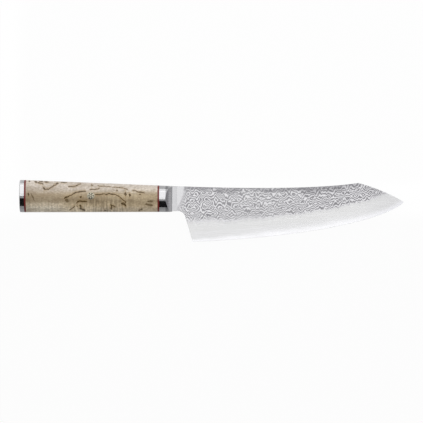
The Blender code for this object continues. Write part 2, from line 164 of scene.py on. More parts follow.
def layers_line(x):
    """The height of the line where the folded layers end on the ground face. Hammering left it wavy."""
    waves = sum(height * math.sin(x * pitch + start) for height, pitch, start in LINE_WAVES)
    drop = LINE_DROP * min(max((x - x_heel) / LINE_DROP_RUN, 0), 1)
    return height_on(EDGE, x) + (breaks_through - EDGE_THICKNESS / 2) / grind_slope + waves - drop


def layers_start(x):
    """How high the folded layers begin at x. By the weld, where the blade is thicker, they begin lower."""
    share = share_ground(x, LEAST_SHARE)
    ground = (breaks_through - (1 - share) * NECK_THICKNESS / 2) / share
    return layers_line(x) + (ground - breaks_through) / grind_slope


def spaced(start, end):
    """Places from start up to end, which is left out, about a grid step apart."""
    count = max(1, round((end - start) / GRID_STEP))
    return [start + (end - start) * step / count for step in range(count)]


def steel_sheet(name, stations, rows, place, smooth):
    """A flat grid thickened to a closed sheet, then forged to shape: each of its points goes where
    place(x, row, side) says. side is 1 on the right face and -1 on the left. Bends of up to smooth
    degrees look smooth. Each point keeps its heights in millimetres, for the materials."""
    bpy.ops.object.select_all(action="DESELECT")
    bpy.ops.mesh.primitive_grid_add(x_subdivisions=len(stations) - 1, y_subdivisions=rows - 1, size=1)
    sheet = bpy.context.object
    sheet.name = sheet.data.name = name
    bpy.ops.object.mode_set(mode="EDIT")
    bpy.ops.mesh.extrude_region_move(TRANSFORM_OT_translate={"value": (0, 0, 1)})
    bpy.ops.object.mode_set(mode="OBJECT")
    above_edge = sheet.data.attributes.new("above_edge", "FLOAT", "POINT")
    above_core = sheet.data.attributes.new("above_core", "FLOAT", "POINT")
    below_spine = sheet.data.attributes.new("below_spine", "FLOAT", "POINT")
    for point in sheet.data.vertices:
        x = stations[round((point.co.x + 0.5) * (len(stations) - 1))]
        row = round((point.co.y + 0.5) * (rows - 1))
        point.co = place(x, row, 1 if point.co.z > 0.5 else -1)
        above_edge.data[point.index].value = (point.co.y - height_on(EDGE, x)) * MM_PER_METRE
        above_core.data[point.index].value = (point.co.y - layers_line(x)) * MM_PER_METRE
        below_spine.data[point.index].value = (height_on(SPINE, x) - point.co.y) * MM_PER_METRE
    bpy.ops.object.mode_set(mode="EDIT")
    bpy.ops.mesh.select_all(action="SELECT")
    bpy.ops.mesh.remove_doubles(threshold=SAME_PLACE)
    bpy.ops.object.mode_set(mode="OBJECT")
    bpy.ops.object.shade_smooth_by_angle(angle=math.radians(smooth))
    return sheet


CORE_ROWS = 16
CORE_SHOWN_ROWS = 11
CORE_SMOOTH = 8


def core_place(x, row, side):
    """The first rows are the honed edge and the band that shows. The others lie under the layers."""
    low, high = height_on(UNDERSIDE, x), height_on(SPINE, x)
    start = min(max(layers_start(x), low), high)
    honed = min(HONED_HEIGHT, (start - low) / 2)
    if row == 0:
        y = low
    elif row < CORE_SHOWN_ROWS:
        y = low + honed + (start - low - honed) * (row - 1) / (CORE_SHOWN_ROWS - 2)
    else:
        y = start + (high - start) * (row - CORE_SHOWN_ROWS) / (CORE_ROWS - 1 - CORE_SHOWN_ROWS)
    half = half_thickness(x, y)
    if row == 0 and x >= x_heel:
        half = HONED_THICKNESS / 2
    if start < high and (row >= CORE_SHOWN_ROWS or start == low):
        half = min(half, CORE_THICKNESS / 2)
    return x, y, z_blade + side * half


blade_stations = spaced(x_weld, x_heel) + spaced(x_heel, x_peak) + spaced(x_peak, x_point) + [x_point]
core_layer = steel_sheet("core_layer", blade_stations, CORE_ROWS, core_place, CORE_SMOOTH)


def node(tree, kind, inputs=None, **settings):
    """A shader node. An input is a value or another node's output, by its name or number."""
    made = tree.nodes.new("ShaderNode" + kind)
    for name, value in settings.items():
        setattr(made, name, value)
    for key, value in (inputs or {}).items():
        if isinstance(value, bpy.types.NodeSocket):
            tree.links.new(value, made.inputs[key])
        else:
            made.inputs[key].default_value = value
    return made


def maths(tree, operation, *values, clamp=False):
    return node(tree, "Math", dict(enumerate(values)), operation=operation, use_clamp=clamp).outputs[0]


def vector(tree, operation, *values, output=0):
    return node(tree, "VectorMath", dict(enumerate(values)), operation=operation).outputs[output]


def blend(tree, share, first, second):
    """From the first colour to the second as share goes from 0 to 1."""
    return node(tree, "Mix", {0: share, 6: first, 7: second}, data_type="RGBA").outputs[2]


def between(tree, share, first, second):
    """From the first value to the second as share goes from 0 to 1."""
    return node(tree, "Mix", {0: share, 2: first, 3: second}).outputs[0]


def ramp(tree, value, low, high, to_low=0.0, to_high=1.0):
    """value from low to high becomes to_low to to_high, smoothly and no further."""
    made = node(tree, "MapRange", {0: value, 1: low, 2: high, 3: to_low, 4: to_high})
    made.interpolation_type = "SMOOTHSTEP"
    return made.outputs[0]


def placed(tree, where, scale, location=(0, 0, 0)):
    return node(tree, "Mapping", {"Vector": where, "Scale": scale, "Location": location}).outputs[0]


def noise(tree, where, scale, detail=3, roughness=0.5):
    inputs = {"Vector": where, "Scale": scale, "Detail": detail, "Roughness": roughness}
    return node(tree, "TexNoise", inputs).outputs["Fac"]


def offsets(tree, where, scale, detail, reach):
    """Sideways and upwards drift by up to half of reach, in millimetres."""
    colours = node(tree, "TexNoise", {"Vector": where, "Scale": scale, "Detail": detail}).outputs["Color"]
    centred = vector(tree, "SUBTRACT", colours, (0.5, 0.5, 0.5))
    return vector(tree, "MULTIPLY", centred, (reach, reach, 0))


def separate(tree, where):
    return node(tree, "SeparateXYZ", {0: where}).outputs


def new_material(name, **plain):
    """A material with its Principled shader. plain sets sockets that are the same all over."""
    made = bpy.data.materials.new(name)
    made.use_nodes = True
    shader = made.node_tree.nodes["Principled BSDF"]
    for key, value in plain.items():
        shader.inputs[key.replace("_", " ")].default_value = value
    return made, made.node_tree, shader


def millimetres(tree):
    """The point on the piece, in millimetres."""
    return vector(tree, "MULTIPLY", node(tree, "TexCoord").outputs["Object"], (MM_PER_METRE,) * 3)


def attribute(tree, name):
    return node(tree, "Attribute", attribute_name=name).outputs["Fac"]


def bump(tree, shader, height, strength, distance):
    """Raises the surface by the height, times a distance in metres."""
    inputs = {"Strength": strength, "Distance": distance, "Height": height}
    tree.links.new(node(tree, "Bump", inputs).outputs[0], shader.inputs["Normal"])


polish = bpy.data.node_groups.new("polish lines", "ShaderNodeTree")
polish.interface.new_socket("Point", in_out="INPUT", socket_type="NodeSocketVector")
polish.interface.new_socket("Fineness", in_out="INPUT", socket_type="NodeSocketFloat")
polish.interface.new_socket("Shortness", in_out="INPUT", socket_type="NodeSocketFloat")
polish.interface.new_socket("Lines", in_out="OUTPUT", socket_type="NodeSocketFloat")
given = polish.nodes.new("NodeGroupInput").outputs
result = polish.nodes.new("NodeGroupOutput").inputs
stretch = node(polish, "CombineXYZ", {0: given["Shortness"], 1: 1.0, 2: 1.0}).outputs[0]
drawn_out = vector(polish, "MULTIPLY", given["Point"], stretch)
polish.links.new(noise(polish, drawn_out, given["Fineness"], 4, 0.6), result["Lines"])


def polish_lines(tree, point, fineness, shortness):
    """Fine lines along the piece, as a polishing belt leaves them."""
    inputs = {"Point": point, "Fineness": fineness, "Shortness": shortness}
    return node(tree, "Group", inputs, node_tree=polish).outputs[0]


SATIN_HIGH = (0.63, 0.63, 0.63, 1)
SATIN_LOW = (0.65, 0.65, 0.655, 1)
SATIN_TIP = (0.54, 0.54, 0.545, 1)
HONED_STEEL = (0.80, 0.80, 0.82, 1)
HONED_TIP = (0.64, 0.64, 0.67, 1)
LAYERS_PAINTED_SHADE = (0.30, 0.30, 0.31, 1)
CLOUD_GREY = (0.50, 0.50, 0.50, 1)

core_steel, tree, shader = new_material("core steel", Metallic=1.0)
point = millimetres(tree)
above = attribute(tree, "above_edge")
along = separate(tree, point)[0]
wander = noise(tree, placed(tree, point, (0.11, 0.30, 0.30)), 1.0, 4, 0.6)
height = maths(tree, "ADD", above, maths(tree, "MULTIPLY_ADD", wander, -3.0, 1.5))
band_height = ramp(tree, along, -16.0, 55.0, 4.0, 7.4)
towards_tip = ramp(tree, along, 105.0, 165.0)
band_height = maths(tree, "MULTIPLY_ADD", towards_tip, -1.2, band_height)
edge_band = ramp(tree, maths(tree, "DIVIDE", height, band_height), 0.0, 1.0, 1.0, 0.0)
hardened = ramp(tree, height, 8.0, 9.0, 1.0, 0.0)
lines = polish_lines(tree, point, 2.2, 0.03)
clouds = noise(tree, placed(tree, point, (0.04, 0.25, 0.25)), 1.0, 3)
colour = blend(tree, towards_tip, blend(tree, hardened, SATIN_HIGH, SATIN_LOW), SATIN_TIP)
colour = blend(tree, edge_band, colour, blend(tree, towards_tip, HONED_STEEL, HONED_TIP))
# Just below where the folded layers begin, the steel darkens towards grey: painted shade under the layers'
# edge.
painted_shade_under_layers = ramp(tree, attribute(tree, "above_core"), -3.0, -0.2, 0.0, 0.16)
colour = blend(tree, painted_shade_under_layers, colour, LAYERS_PAINTED_SHADE)
colour = blend(tree, ramp(tree, clouds, 0.3, 0.7, 0.0, 0.14), colour, CLOUD_GREY)
colour = blend(tree, ramp(tree, lines, 0.35, 0.65, 0.0, 0.20), colour, HONED_STEEL)
tree.links.new(colour, shader.inputs["Base Color"])
tree.links.new(ramp(tree, edge_band, 0.0, 1.0, 0.24, 0.20), shader.inputs["Roughness"])
bump(tree, shader, lines, 0.05, 0.00002)
core_layer.data.materials.append(core_steel)
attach(core_layer, "root")
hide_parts("blade_core")


# The folded layers on each face are soft steels, forge-welded over the core and etched after grinding, so
# that each layer shows as a line. By the neck they were buffed bright again with a wheel.
SPINE_EASE = 0.00035
EASE_SHARE = 0.8
LAYERS_ROWS = 18
EASE_ROWS = 4
LAYERS_SMOOTH = 25

layers_inner = CORE_THICKNESS / 2 + BOND_GAP
layers_end = next(
    x for x in blade_stations if x > x_peak and layers_start(x) > height_on(SPINE, x) - POINT_FLAT
)
layers_stations = [x for x in blade_stations if x < layers_end]


def layers_place(face):
    """Where the layers of one face go. The last rows round their corner at the spine."""
    def place(x, row, side):
        low, high = height_on(UNDERSIDE, x), height_on(SPINE, x)
        start = min(max(layers_start(x) + BOND_GAP, low), high - POINT_FLAT / 4)
        full = half_thickness(x, high)
        ease = min(SPINE_EASE, (full - layers_inner) * EASE_SHARE, (high - start) / 2)
        flat_rows = LAYERS_ROWS - 1 - EASE_ROWS
        if row <= flat_rows:
            y = start + (high - ease - start) * row / flat_rows
            lost = 0
        else:
            turn = math.pi / 2 * (row - flat_rows) / EASE_ROWS
            y = high - ease * (1 - math.sin(turn))
            lost = ease * (1 - math.cos(turn))
        half = half_thickness(x, y) - lost if side == face else layers_inner
        return x, y, z_blade + face * half
    return place


right_layers = steel_sheet("right_layers", layers_stations, LAYERS_ROWS, layers_place(1), LAYERS_SMOOTH)
left_layers = steel_sheet("left_layers", layers_stations, LAYERS_ROWS, layers_place(-1), LAYERS_SMOOTH)

# The lengths of the pattern are in millimetres, like the points that it is worked out from.
BUFFED_CENTRE = (-52.3, 20.3, 0)
BUFFED_RADIUS = 28.6
FOLD_WIDTH = 3.3
FOLD_HEIGHT = 6.0
SLANT_WIDTH = 5.0
LAYER_DARK = (0.255, 0.25, 0.266, 1)
LAYER_BRIGHT = (0.72, 0.715, 0.732, 1)
LAYER_MEAN = (0.49, 0.486, 0.498, 1)
TIP_STAIN = (0.20, 0.195, 0.22, 1)
SPINE_STAIN = (0.20, 0.196, 0.21, 1)
BUFFED_STEEL = (0.53, 0.53, 0.54, 1)
DARK_ROUGHNESS = 0.42
BRIGHT_ROUGHNESS = 0.28
BUFFED_ROUGHNESS = 0.14

folded_steel, tree, shader = new_material("folded steel", Metallic=1.0)
point = millimetres(tree)
along = separate(tree, point)[0]
above = attribute(tree, "above_core")
below = attribute(tree, "below_spine")
deep = placed(tree, point, (1, 1, 3))
drift_x, drift_y, _ = separate(tree, offsets(tree, placed(tree, deep, (0.08, 0.10, 0.10)), 1.0, 2.0, 6))

# The layers are the contours of a dented surface, which was folded three ways: along, across and aslant.
from_middle = ramp(tree, along, 0.0, 30.0)
sideways = maths(tree, "PINGPONG", maths(tree, "ADD", along, drift_x), FOLD_WIDTH)
sideways = maths(tree, "MULTIPLY", sideways, between(tree, from_middle, 1.0, 0.72))
upwards = maths(tree, "PINGPONG", maths(tree, "ADD", above, drift_y), FOLD_HEIGHT)
aslant = maths(tree, "MULTIPLY_ADD", along, 0.8, maths(tree, "SUBTRACT", above, drift_x))
aslant = maths(tree, "PINGPONG", aslant, SLANT_WIDTH)
folds = maths(tree, "MULTIPLY_ADD", upwards, ramp(tree, above, 3.0, 17.0, 1.2, 0.95), sideways)
folds = maths(tree, "MULTIPLY_ADD", aslant, 0.25, folds)
wobble = noise(tree, placed(tree, deep, (0.40, 0.30, 0.30), (31, 7, 3)), 1.0, 1)
swell = noise(tree, placed(tree, deep, (0.07, 0.12, 0.12), (3, 17, 5)), 1.0, 1)
dents = maths(tree, "MULTIPLY_ADD", wobble, 0.8, maths(tree, "MULTIPLY", swell, 1.5))
depth = maths(tree, "MULTIPLY_ADD", folds, between(tree, from_middle, 0.405, 0.43), dents)
layer = maths(tree, "SINE", maths(tree, "MULTIPLY", depth, 2 * math.pi))
layer = ramp(tree, layer, -0.4, 0.4)

from_centre = vector(tree, "DISTANCE", placed(tree, point, (1, 1, 0)), BUFFED_CENTRE, output="Value")
ragged = maths(tree, "MULTIPLY_ADD", noise(tree, point, 0.4, 2), 1.6, from_centre)
buffed = ramp(tree, ragged, BUFFED_RADIUS - 0.2, BUFFED_RADIUS + 1.8, 1.0, 0.0)
rubbed = ramp(tree, ragged, BUFFED_RADIUS, BUFFED_RADIUS + 7.0, 0.9, 0.0)
from_core = maths(tree, "DIVIDE", above, ramp(tree, along, -16.0, 110.0, 4.2, 1.6))
worn = ramp(tree, from_core, 0.0, 1.0, 0.85, 0.0)
etched = between(tree, worn, between(tree, rubbed, layer, 0.5), 1.0)
softened = ramp(tree, along, -5.0, 30.0, 0.13, ramp(tree, along, 50.0, 100.0, 0.32, 0.12))
colour = blend(tree, softened, blend(tree, etched, LAYER_DARK, LAYER_BRIGHT), LAYER_MEAN)
colour = blend(tree, ramp(tree, along, 50.0, 110.0, 0.0, 0.08), colour, TIP_STAIN)
stain_and_shade = noise(tree, placed(tree, deep, (0.10, 0.25, 0.25), (5, 50, 9)), 1.0, 3)
from_spine = maths(tree, "MULTIPLY_ADD", stain_and_shade, 14.0, maths(tree, "SUBTRACT", below, 6.5))
near_spine = ramp(tree, from_spine, 0.0, ramp(tree, along, 40.0, 110.0, 6.5, 8.0), 1.0, 0.0)
near_spine = maths(tree, "MULTIPLY", near_spine, ramp(tree, along, 112.0, 130.0, 0.75, 0.35))
colour = blend(tree, near_spine, colour, SPINE_STAIN)
colour = blend(tree, buffed, colour, BUFFED_STEEL)
tree.links.new(colour, shader.inputs["Base Color"])
rough = between(tree, buffed, between(tree, etched, DARK_ROUGHNESS, BRIGHT_ROUGHNESS), BUFFED_ROUGHNESS)
tree.links.new(rough, shader.inputs["Roughness"])
for piece, cad_node in ((right_layers, "cladding_right"), (left_layers, "cladding_left")):
    piece.data.materials.append(folded_steel)
    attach(piece, "root")
    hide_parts(cad_node)


# The bolster is one polished forging: a short length of the handle's D shape, ground down by a sloping
# facet on each side to a plain flat neck, which is welded to the blade.
BUTT_SECTION = 0.0277
RIDGE_PROUD = (0.011, 0.0092)
RIDGE_ABOVE_BOTTOM = (0.0139, 0.0105)
RIDGE_RADIUS = (0.007, 0.005)
BOTTOM_CORNER_RADIUS = (0.010, 0.0072)
LEFT_CORNER_RADIUS = 0.006
TOP_CORNER_RADIUS = 0.009
UPPER_FLANK = math.radians(15)
LOWER_FLANK = math.radians(22)
CORNER_SEGMENTS = 20
FACET_RUN = 0.0062
NECK_FILLET = 0.0015
FILLET_SEGMENTS = 12
SEAT_GAP = 0.00005
OVERSHOOT = 0.001
SMOOTH_BEND = 30
NEARBY = 0.0001
ROUNDING = 1e-6

x_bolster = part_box("bolster")[0].x
x_facet = x_shoulder - FACET_RUN
y_top_butt = y_heel + HEEL_HEIGHT + HANDLE_DROP
y_top_shoulder = y_heel + HEEL_HEIGHT


def deselect(piece):
    """Makes the piece the only selected one, with none of its faces, edges or points selected."""
    bpy.ops.object.select_all(action="DESELECT")
    piece.select_set(True)
    bpy.context.view_layer.objects.active = piece
    for part in (piece.data.polygons, piece.data.edges, piece.data.vertices):
        part.foreach_set("select", [False] * len(part))


def pick(piece, kind, test):
    """Selects the piece's points, edges or faces that pass the test, and enters edit mode. The test gets
    the middle, and for an edge its direction too, and for a face its normal."""
    deselect(piece)
    mesh = piece.data
    bpy.context.tool_settings.mesh_select_mode = (kind == "point", kind == "edge", kind == "face")
    if kind == "point":
        for point in mesh.vertices:
            point.select = test(point.co)
    elif kind == "edge":
        for edge in mesh.edges:
            start, end = [mesh.vertices[index].co for index in edge.vertices]
            edge.select = test((start + end) / 2, (end - start).normalized())
    else:
        for face in mesh.polygons:
            face.select = test(face.center, face.normal)
    bpy.ops.object.mode_set(mode="EDIT")


def cut_away(piece, place, normal):
    """Cuts the piece along a plane, throws away what lies on the normal's side and closes the cut."""
    pick(piece, "face", lambda middle, normal: True)
    bpy.ops.mesh.select_all(action="SELECT")
    bpy.ops.mesh.bisect(plane_co=place, plane_no=normal, use_fill=True, clear_outer=True,
                        threshold=SAME_PLACE)
    bpy.ops.object.mode_set(mode="OBJECT")


def round_edges(piece, test, offset, segments):
    pick(piece, "edge", test)
    bpy.ops.mesh.bevel(offset_type="OFFSET", offset=offset, segments=segments, profile=0.5,
                       affect="EDGES", clamp_overlap=False)
    bpy.ops.object.mode_set(mode="OBJECT")


def draw_section(name, x, top, height, end):
    """The handle's outline across it at x, as one flat face: five corners, each then rounded. end is 0 for
    the sizes at the butt and 1 for those at the shoulder."""
    bottom = top - height
    ridge_y = bottom + RIDGE_ABOVE_BOTTOM[end]
    ridge_z = z_blade + RIDGE_PROUD[end]
    top_z = ridge_z - (top - ridge_y) * math.tan(UPPER_FLANK)
    bottom_z = ridge_z - (ridge_y - bottom) * math.tan(LOWER_FLANK)
    corners = [
        (top, 0, LEFT_CORNER_RADIUS, math.pi / 2),
        (top, top_z, TOP_CORNER_RADIUS, math.pi / 2 - UPPER_FLANK),
        (ridge_y, ridge_z, RIDGE_RADIUS[end], UPPER_FLANK + LOWER_FLANK),
        (bottom, bottom_z, BOTTOM_CORNER_RADIUS[end], math.pi / 2 - LOWER_FLANK),
        (bottom, 0, LEFT_CORNER_RADIUS, math.pi / 2),
    ]
    bpy.ops.object.select_all(action="DESELECT")
    bpy.ops.mesh.primitive_circle_add(vertices=len(corners), fill_type="NGON")
    section = bpy.context.object
    section.name = name
    for point, (y, z, _, _) in zip(section.data.vertices, corners):
        point.co = (x, y, z)
    for y, z, radius, turn in corners:
        pick(section, "point", lambda place: (place - Vector((x, y, z))).length < NEARBY)
        bpy.ops.mesh.bevel(offset_type="OFFSET", offset=radius * math.tan(turn / 2),
                           segments=CORNER_SEGMENTS, affect="VERTICES", clamp_overlap=False)
        bpy.ops.object.mode_set(mode="OBJECT")
    return section


blank = draw_section("handle_blank", x_butt, y_top_butt, BUTT_SECTION, 0)
shoulder_section = draw_section("shoulder_section", x_shoulder, y_top_shoulder, SHOULDER_SECTION, 1)
deselect(blank)
shoulder_section.select_set(True)
bpy.ops.object.join()
pick(blank, "edge", lambda middle, direction: True)
bpy.ops.mesh.bridge_edge_loops()
bpy.ops.mesh.select_all(action="SELECT")
bpy.ops.mesh.normals_make_consistent(inside=False)
bpy.ops.object.mode_set(mode="OBJECT")


def from_blank(name, low_x, high_x):
    """A length of the handle, sawn from a copy of the blank."""
    piece = blank.copy()
    piece.data = blank.data.copy()
    piece.name = piece.data.name = name
    bpy.context.scene.collection.objects.link(piece)
    if low_x > x_butt + ROUNDING:
        cut_away(piece, (low_x, 0, 0), (-1, 0, 0))
    if high_x < x_shoulder - ROUNDING:
        cut_away(piece, (high_x, 0, 0), (1, 0, 0))
    return piece


def tidy_shading(piece):
    """Smooth shading that keeps the flats flat."""
    deselect(piece)
    bpy.ops.object.shade_smooth_by_angle(angle=math.radians(SMOOTH_BEND))
    piece.modifiers.new("flats", "WEIGHTED_NORMAL").keep_sharp = True
    bpy.ops.object.modifier_apply(modifier="flats")


def machine(piece, cutter, operation):
    """What is left of the piece outside the cutter, or with INTERSECT inside it."""
    deselect(piece)
    machining = piece.modifiers.new("machining", "BOOLEAN")
    machining.operation = operation
    machining.object = cutter
    bpy.ops.object.modifier_apply(modifier="machining")


def hollow(piece, low, high):
    """Mills a box out of the piece."""
    low, high = Vector(low), Vector(high)
    bpy.ops.object.select_all(action="DESELECT")
    bpy.ops.mesh.primitive_cube_add(size=1, location=(low + high) / 2, scale=high - low)
    bpy.ops.object.transform_apply()
    cutter = bpy.context.object
    machine(piece, cutter, "DIFFERENCE")
    bpy.data.objects.remove(cutter)


forged_bolster = from_blank("forged_bolster", x_bolster, x_shoulder)
for side, proud in ((1, RIDGE_PROUD[1]), (-1, z_blade)):
    rise = Vector((FACET_RUN, 0, side * (NECK_THICKNESS / 2 - proud)))
    outwards = Vector((-rise.z * side, 0, FACET_RUN * side))
    cut_away(forged_bolster, (x_facet, 0, z_blade + side * proud), outwards)
pick(forged_bolster, "point", lambda place: place.x > x_shoulder - NEARBY and place.y < y_neck_bottom)
bpy.ops.transform.translate(value=(0, NOSE_LIFT, 0))
bpy.ops.object.mode_set(mode="OBJECT")
pick(forged_bolster, "face", lambda middle, normal: normal.x > 0.99)
neck_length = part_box("bolster")[1].x - x_shoulder
neck_middle = (y_neck_bottom + y_top_shoulder) / 2
bpy.ops.mesh.extrude_region_move(TRANSFORM_OT_translate={"value": (neck_length, 0, 0)})
bpy.ops.object.mode_set(mode="OBJECT")
pick(forged_bolster, "point", lambda place: place.x > x_shoulder + NEARBY and place.y > neck_middle)
bpy.ops.transform.translate(value=(0, -neck_length * top_line_slope, 0))
bpy.ops.object.mode_set(mode="OBJECT")
facet_turn = math.atan2(RIDGE_PROUD[1] - NECK_THICKNESS / 2, FACET_RUN)
round_edges(
    forged_bolster,
    lambda middle, direction: abs(middle.x - x_shoulder) < NEARBY and abs(direction.y) > 0.9,
    NECK_FILLET * math.tan(facet_turn / 2), FILLET_SEGMENTS,
)
tang_low, tang_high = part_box("tang")
tang_y = (tang_low.y + tang_high.y) / 2
hollow(forged_bolster,
       (x_bolster - OVERSHOOT, tang_low.y - SEAT_GAP, tang_low.z - SEAT_GAP),
       (tang_high.x + SEAT_GAP, tang_high.y + SEAT_GAP, tang_high.z + SEAT_GAP))
tidy_shading(forged_bolster)

POLISH_DARK = (0.53, 0.53, 0.54, 1)
POLISH_BRIGHT = (0.58, 0.58, 0.59, 1)
FACET_PAINTED_DARK = (0.31, 0.31, 0.32, 1)
FACET_PAINTED_BRIGHT = (0.65, 0.65, 0.66, 1)
NECK_STEEL = (0.485, 0.485, 0.495, 1)
shoulder_mm = x_shoulder * MM_PER_METRE
facet_mm = x_facet * MM_PER_METRE

polished_steel, tree, shader = new_material("polished steel", Metallic=1.0)
point = millimetres(tree)
lines = polish_lines(tree, point, 9.0, 0.06)
smears = noise(tree, point, 0.35, 3)
along = separate(tree, point)[0]
neck = ramp(tree, along, shoulder_mm - 0.9, shoulder_mm - 0.4)
# Each facet is coloured dark where it leaves the flank and bright by the neck: painted reflection, the
# shading that the sloping face shows.
on_facet = ramp(tree, along, facet_mm, facet_mm + 0.6)
facet_painted_shading = ramp(tree, along, facet_mm + 1.3, shoulder_mm - 1.3)
colour = blend(tree, ramp(tree, lines, 0.35, 0.7), POLISH_DARK, POLISH_BRIGHT)
colour = blend(tree, on_facet, colour, blend(tree, facet_painted_shading, FACET_PAINTED_DARK, FACET_PAINTED_BRIGHT))
colour = blend(tree, neck, colour, NECK_STEEL)
tree.links.new(colour, shader.inputs["Base Color"])
rough = maths(tree, "MULTIPLY_ADD", neck, 0.08, ramp(tree, smears, 0.3, 0.7, 0.10, 0.14))
tree.links.new(rough, shader.inputs["Roughness"])
bump(tree, shader, lines, 0.03, 0.00001)
forged_bolster.data.materials.append(polished_steel)
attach(forged_bolster, "root")
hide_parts("bolster")


# The tang is a flat bar of plain steel, welded into the bolster and brazed into the end cap. It lies
# hidden in the wood, in a bed of resin, and both stay as they were made.
BAR_DARK = (0.34, 0.34, 0.35, 1)
BAR_BRIGHT = (0.54, 0.54, 0.54, 1)
BED_DARK = (0.22, 0.17, 0.10, 1)
BED_LIGHT = (0.36, 0.29, 0.19, 1)

bar_steel, tree, shader = new_material("bar steel", Metallic=1.0)
point = millimetres(tree)
lines = polish_lines(tree, point, 4.0, 0.04)
colour = blend(tree, lines, BAR_DARK, BAR_BRIGHT)
tree.links.new(colour, shader.inputs["Base Color"])
tree.links.new(ramp(tree, lines, 0.3, 0.7, 0.36, 0.52), shader.inputs["Roughness"])
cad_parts["tang"].material_slots[0].material = bar_steel

bedding_resin, tree, shader = new_material("bedding resin", Roughness=0.4)
point = millimetres(tree)
fillers = noise(tree, point, 1.4, 4)
colour = blend(tree, fillers, BED_DARK, BED_LIGHT)
tree.links.new(colour, shader.inputs["Base Color"])
bump(tree, shader, fillers, 0.2, 0.00005)
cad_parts["tang_bedding"].material_slots[0].material = bedding_resin


# A thin plate of red vulcanised fibre sits at each end of the wood, pushed over the tang. It is ground
# flush with the rest of the handle and shows as a dark red line.
PLATE_EASE = 0.00008
EASE_SEGMENTS = 2
SLOT_GAP = 0.0002
RIM_REACH = 1e-5
FIBRE_DARK = (0.10, 0.006, 0.004, 1)
FIBRE_RED = (0.20, 0.017, 0.012, 1)

red_fibre, tree, shader = new_material("red fibre", Roughness=0.42)
point = millimetres(tree)
felt = noise(tree, placed(tree, point, (2.5, 1, 1)), 1.6, 4)
colour = blend(tree, ramp(tree, felt, 0.3, 0.7), FIBRE_DARK, FIBRE_RED)
tree.links.new(colour, shader.inputs["Base Color"])
bump(tree, shader, felt, 0.15, 0.00003)


def rims_at(*places):
    """A test for the edges that run round a piece at any of these places along it."""
    def on_rim(middle, direction):
        at_place = any(abs(middle.x - place) < RIM_REACH for place in places)
        return abs(direction.x) < 0.7 and at_place
    return on_rim


def fibre_plate(name, cad_node):
    low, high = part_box(cad_node)
    plate = from_blank(name, low.x, high.x)
    round_edges(plate, rims_at(low.x, high.x), PLATE_EASE, EASE_SEGMENTS)
    hollow(plate, (low.x - OVERSHOOT, tang_low.y - SLOT_GAP, tang_low.z - SLOT_GAP),
           (high.x + OVERSHOOT, tang_high.y + SLOT_GAP, tang_high.z + SLOT_GAP))
    tidy_shading(plate)
    plate.data.materials.append(red_fibre)
    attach(plate, "root")
    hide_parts(cad_node)


fibre_plate("front_plate", "front_spacer")
fibre_plate("rear_plate", "rear_spacer")


# The grip is a block of masur birch, slotted for the tang and bedded on it in resin, then ground to the D
# shape with the steel round it and lacquered. Its flecks are where the growing wood was hurt.
BEDDING_GAP = 0.00003
PIN_GAP = 0.00003
PIN_SIDES = 96
PIN_STOCK = 0.06
FLECK_REACH = 60
THICKEST_FLECK = 2
THINNEST_FLECK = 0.001
FLECK_TAPER = 0.8

grip_low, grip_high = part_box("handle_wood")
grip_wood = from_blank("grip_wood", grip_low.x, grip_high.x)
round_edges(grip_wood, rims_at(grip_low.x, grip_high.x), PLATE_EASE, EASE_SEGMENTS)
bed_low, bed_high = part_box("tang_bedding")
hollow(grip_wood, (grip_low.x - OVERSHOOT, bed_low.y - BEDDING_GAP, bed_low.z - BEDDING_GAP),
       (grip_high.x + OVERSHOOT, bed_high.y + BEDDING_GAP, bed_high.z + BEDDING_GAP))
pin_low, pin_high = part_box("pin_tube")
pin_middle = (pin_low + pin_high) / 2
pin_radius = (pin_high.x - pin_low.x) / 2


def round_stock(name, middle, radius, sides):
    """A round bar across the handle, longer than the handle is thick."""
    bpy.ops.object.select_all(action="DESELECT")
    bpy.ops.mesh.primitive_cylinder_add(vertices=sides, radius=radius, depth=PIN_STOCK, location=middle)
    bpy.ops.object.transform_apply()
    stock = bpy.context.object
    stock.name = stock.data.name = name
    return stock


def drill_out(piece, middle, radius, sides, reach):
    """Drills a round hole through the piece. The drill is reach times as long as the pin's stock."""
    drill = round_stock("drill", middle, radius, sides)
    drill.scale.z = reach
    machine(piece, drill, "DIFFERENCE")
    bpy.data.objects.remove(drill)


drill_out(grip_wood, pin_middle, pin_radius + PIN_GAP, PIN_SIDES, reach=1)
tidy_shading(grip_wood)

masur_birch, tree, shader = new_material(
    "masur birch", Roughness=0.4, Specular_IOR_Level=0.0, Coat_Roughness=0.3
)
point = millimetres(tree)
to_pin = (-MM_PER_METRE * pin_middle.x, -MM_PER_METRE * pin_middle.y, 0)
from_pin = placed(tree, point, (1, 1, 0), to_pin)
_, height, depth = separate(tree, point)
right_side = ramp(tree, depth, 9.5, 12.5)
shaken = vector(tree, "ADD", offsets(tree, point, 0.45, 3.0, 1.6), from_pin)


def curve_through(tree, value, places):
    """A curve with straight stretches between the places."""
    made = node(tree, "FloatCurve", {"Value": value})
    points = made.mapping.curves[0].points
    points[0].location, points[1].location = places[0], places[-1]
    for place in places[1:-1]:
        points.new(*place)
    for place in points:
        place.handle_type = "VECTOR"
    made.mapping.update()
    return made.outputs[0]


